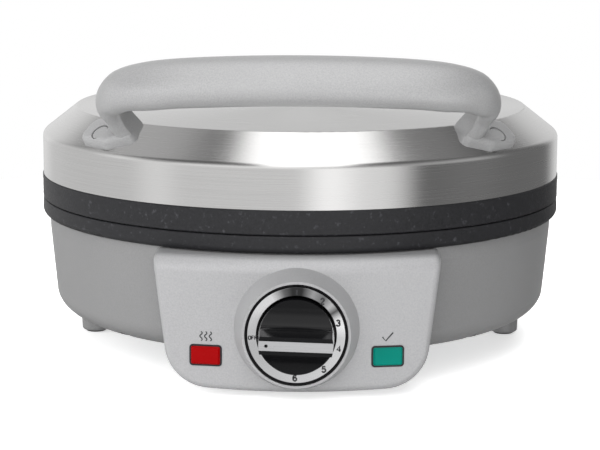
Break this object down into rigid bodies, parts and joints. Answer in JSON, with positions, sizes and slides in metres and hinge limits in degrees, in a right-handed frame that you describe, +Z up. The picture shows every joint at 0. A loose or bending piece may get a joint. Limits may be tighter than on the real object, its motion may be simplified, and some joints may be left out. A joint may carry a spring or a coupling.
{
  "type": "belgian waffle maker",
  "caption": "Round closed waffle maker with a hinged brushed-steel lid, deep-pocket baking plates, a leaning front handle and a browning dial between indicator lights.",
  "frame": {"origin": "middle of the footprint on the surface the feet stand on", "axes": "+X to the right seen from the front, +Y to the back where the hinge is, +Z up"},
  "size_m": [0.2548, 0.3143, 0.1503],
  "materials": {
    "lid_steel": "horizontal brushing",
    "black_moulding": "fine-grained satin",
    "silver_moulding": "silver-grey satin",
    "silver_panel": "silver-grey satin",
    "handle_paint": "silver-grey satin paint",
    "black_gloss": "polished",
    "dial_chrome": "polished",
    "brushed_strip": "brushed lengthwise",
    "dark_bezel": "satin",
    "red_lens": "polished, tinted through",
    "green_lens": "polished, tinted through",
    "lamp_glass": "clear",
    "plate_coating": "non-stick coating",
    "element_steel": "heat-darkened tube",
    "shield_steel": "plain sheet",
    "zinc_steel": "zinc plated",
    "pin_steel": "ground",
    "sensor_aluminium": "plain",
    "grey_plastic": "fine-grained",
    "ceramic": "unglazed",
    "foot_rubber": "matt",
    "inlet_rubber": "matt"
  },
  "bodies": {
    "base": {"base_housing": "silver_moulding", "control_housing": "silver_panel", "hinge_bracket": "silver_moulding", "lower_rim": "black_moulding", "lower_plate": "plate_coating", "lower_plate_screws": "zinc_steel", "lower_element": "element_steel", "lower_heat_shield": "shield_steel", "lower_element_clamps": "shield_steel", "lower_clamp_screws": "zinc_steel", "base_screws": "zinc_steel", "base_cover": "grey_plastic", "cover_screws": "zinc_steel", "foot_pads": "foot_rubber", "control_housing_screws": "zinc_steel", "dial_cup": "black_gloss", "dial_ring": "dial_chrome", "heating_bezel": "dark_bezel", "heating_lens": "red_lens", "heating_lamp": "lamp_glass", "ready_bezel": "dark_bezel", "ready_lens": "green_lens", "ready_lamp": "lamp_glass", "thermostat": "ceramic", "thermostat_nut": "zinc_steel", "thermostat_bracket": "shield_steel", "thermostat_bracket_screws": "zinc_steel", "sensing_rod": "sensor_aluminium", "hinge_bracket_screws": "zinc_steel", "hinge_pin": "pin_steel", "hinge_clip": "pin_steel", "cord_inlet": "inlet_rubber", "terminal_block": "ceramic"},
    "knob": {"control_knob": "black_gloss", "pointer_strip": "brushed_strip", "knob_shaft": "pin_steel"},
    "lid": {"lid_cover": "lid_steel", "upper_rim": "black_moulding", "upper_plate": "plate_coating", "upper_plate_screws": "zinc_steel", "upper_element": "element_steel", "upper_heat_shield": "shield_steel", "upper_shield_screws": "zinc_steel", "upper_element_clamps": "shield_steel", "upper_clamp_screws": "zinc_steel", "handle": "handle_paint", "handle_screws": "zinc_steel", "handle_plugs": "handle_paint", "handle_brackets": "shield_steel", "handle_bracket_screws": "zinc_steel", "hinge_arm": "silver_moulding", "hinge_arm_screws": "zinc_steel"}
  },
  "joints": [
    {"name": "lid_hinge", "type": "hinge", "parent": "base", "child": "lid", "pos_m": [0, 0.1481, 0.078], "axis": [-1, 0, 0], "range_deg": [0, 105]},
    {"name": "knob_turn", "type": "hinge", "parent": "base", "child": "knob", "pos_m": [0, -0.1434, 0.032], "axis": [0, 1, 0], "range_deg": [0, 270]}
  ]
}
